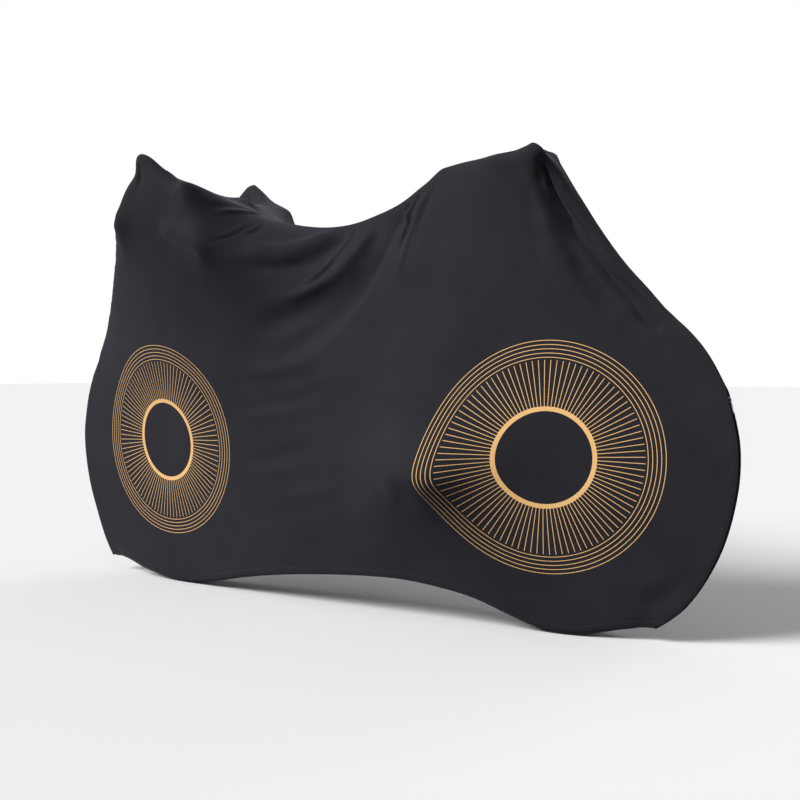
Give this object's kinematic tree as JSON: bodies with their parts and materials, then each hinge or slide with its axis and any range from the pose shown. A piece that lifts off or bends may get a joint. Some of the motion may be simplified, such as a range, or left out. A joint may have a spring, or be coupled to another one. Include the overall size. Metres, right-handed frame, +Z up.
{
  "type": "bicycle cover",
  "caption": "Black stretch-knit cover drawn over a whole road bicycle, with a zip down the back and an open elasticated hem.",
  "frame": {"origin": "point under the cover's top where the bicycle's saddle carries it, on the middle plane", "axes": "+X towards the rear wheel, +Y towards the bicycle's right-hand side, +Z up"},
  "size_m": [1.7161, 0.4556, 1.0051],
  "materials": {
    "black_knit": "matte stretch knit with a soft sheen",
    "black_tape": "woven zip tape",
    "black_nylon": "satin",
    "grey_painted_metal": "semi-gloss"
  },
  "bodies": {
    "root": {"side_panel_left": "black_knit", "side_panel_right": "black_knit", "zip_tape_left": "black_tape", "zip_tape_right": "black_tape", "zip_chain": "black_nylon", "zip_slider": "grey_painted_metal", "zip_pull": "grey_painted_metal"}
  },
  "joints": []
}
